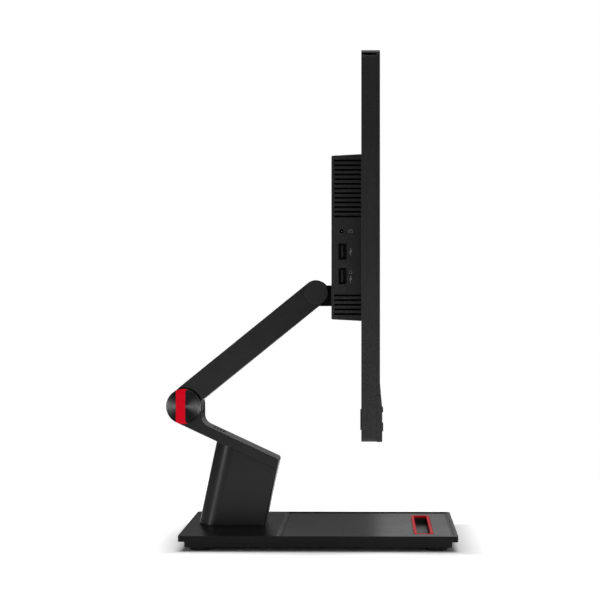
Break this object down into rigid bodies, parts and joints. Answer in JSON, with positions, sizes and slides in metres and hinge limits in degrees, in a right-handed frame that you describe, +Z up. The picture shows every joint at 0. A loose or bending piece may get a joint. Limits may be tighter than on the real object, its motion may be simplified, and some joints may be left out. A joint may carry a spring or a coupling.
{
  "type": "all-in-one computer",
  "caption": "Desktop computer built into a flat display, with a rear housing for the board, on a lifting two-hinge arm, leaning column and flat tray base",
  "frame": {"origin": "on the desk, under the middle of the whole machine's outline at rest", "axes": "+X to the user's right along the screen, -Y towards the user (the screen faces -Y), +Z up"},
  "size_m": [0.54, 0.2897, 0.4617],
  "materials": {
    "stand_paint": "satin powder coat, near black",
    "tray_soft": "soft-touch satin, near black",
    "housing": "fine textured moulded plastic, near black",
    "black_trim": "satin black",
    "spun_cap": "spun and dark anodised",
    "red_trim": "satin red",
    "rubber": "matt",
    "steel": "zinc plated",
    "brass": "plain",
    "screen": "anti-glare coated",
    "panel": "dark picture panel",
    "diffuser": "white diffuser stack",
    "board": "solder-masked board",
    "cooler": "bare fins with a copper pipe",
    "socket_metal": "plated shells"
  },
  "bodies": {
    "stand": {"base_top_plate": "stand_paint", "tray_insert": "tray_soft", "phone_slot_liner": "red_trim", "base_weight_plate": "stand_paint", "base_feet": "rubber", "base_screws": "steel", "column_shell": "stand_paint", "column_core": "steel", "neck_casting": "stand_paint", "deck_vents": "black_trim", "hinge_cap_left": "spun_cap", "hinge_cap_right": "spun_cap", "cap_bands": "red_trim", "lower_axle": "steel", "link_anchor": "steel", "counter_springs": "steel", "friction_washers": "brass"},
    "arm": {"arm_frame": "stand_paint", "arm_top_cover": "black_trim", "arm_pivot_discs": "stand_paint"},
    "level_link": {"level_link": "steel"},
    "level_hub": {"upper_axle": "steel", "level_hub": "steel"},
    "display": {"tilt_bracket": "stand_paint", "mount_plate": "steel", "mount_screws": "steel", "hump_cover": "housing", "io_panel": "socket_metal", "rear_cover": "housing", "mid_frame": "housing", "front_bezel": "housing", "top_cap": "housing", "chin_bar": "housing", "screen_glass": "screen", "lcd_panel": "panel", "backlight": "diffuser", "main_chassis": "steel", "motherboard": "board", "cpu_cooler": "cooler", "fan_housing": "black_trim", "memory_modules": "board", "storage_drive": "board", "wireless_card": "board", "usb_port_upper": "socket_metal", "usb_port_lower": "socket_metal", "headset_jack": "black_trim", "network_port": "socket_metal", "video_ports": "socket_metal", "power_inlet": "black_trim", "speaker_left": "black_trim", "speaker_right": "black_trim", "webcam_module": "black_trim", "button_board": "board", "corner_bumpers": "rubber"},
    "fan": {"fan_rotor": "black_trim"},
    "shutter": {"camera_shutter": "red_trim"},
    "power_key": {"power_button": "black_trim"},
    "menu_key_1": {"menu_button_1": "black_trim"},
    "menu_key_2": {"menu_button_2": "black_trim"},
    "menu_key_3": {"menu_button_3": "black_trim"}
  },
  "joints": [
    {"name": "arm_lift", "type": "hinge", "parent": "stand", "child": "arm", "pos_m": [0, 0.12705, 0.1349], "axis": [-1, 0, 0], "range_deg": [-32, 6]},
    {"name": "link_swing", "type": "hinge", "parent": "stand", "child": "level_link", "pos_m": [0, 0.13062, 0.14161], "axis": [-1, 0, 0], "range_deg": [-32, 6]},
    {"name": "hub_level", "type": "hinge", "parent": "arm", "child": "level_hub", "pos_m": [0, -0.00561, 0.24947], "axis": [-1, 0, 0], "range_deg": [-6, 32]},
    {"name": "tilt", "type": "hinge", "parent": "level_hub", "child": "display", "pos_m": [0, -0.00561, 0.24947], "axis": [-1, 0, 0], "range_deg": [-5, 60]},
    {"name": "fan_spin", "type": "hinge", "parent": "display", "child": "fan", "pos_m": [0.15, -0.03546, 0.32197], "axis": [0, 1, 0], "continuous": true},
    {"name": "shutter_slide", "type": "slide", "parent": "display", "child": "shutter", "axis": [-1, 0, 0], "range_m": [0, 0.008]},
    {"name": "power_press", "type": "slide", "parent": "display", "child": "power_key", "axis": [0, 1, 0], "range_m": [0, 0.0008], "stiffness_N_per_m": 400},
    {"name": "menu_press_1", "type": "slide", "parent": "display", "child": "menu_key_1", "axis": [0, 1, 0], "range_m": [0, 0.0006], "stiffness_N_per_m": 400},
    {"name": "menu_press_2", "type": "slide", "parent": "display", "child": "menu_key_2", "axis": [0, 1, 0], "range_m": [0, 0.0006], "stiffness_N_per_m": 400},
    {"name": "menu_press_3", "type": "slide", "parent": "display", "child": "menu_key_3", "axis": [0, 1, 0], "range_m": [0, 0.0006], "stiffness_N_per_m": 400}
  ],
  "couplings": [
    {"joint": "link_swing", "follows": "arm_lift", "ratio": 1},
    {"joint": "hub_level", "follows": "arm_lift", "ratio": -1}
  ]
}
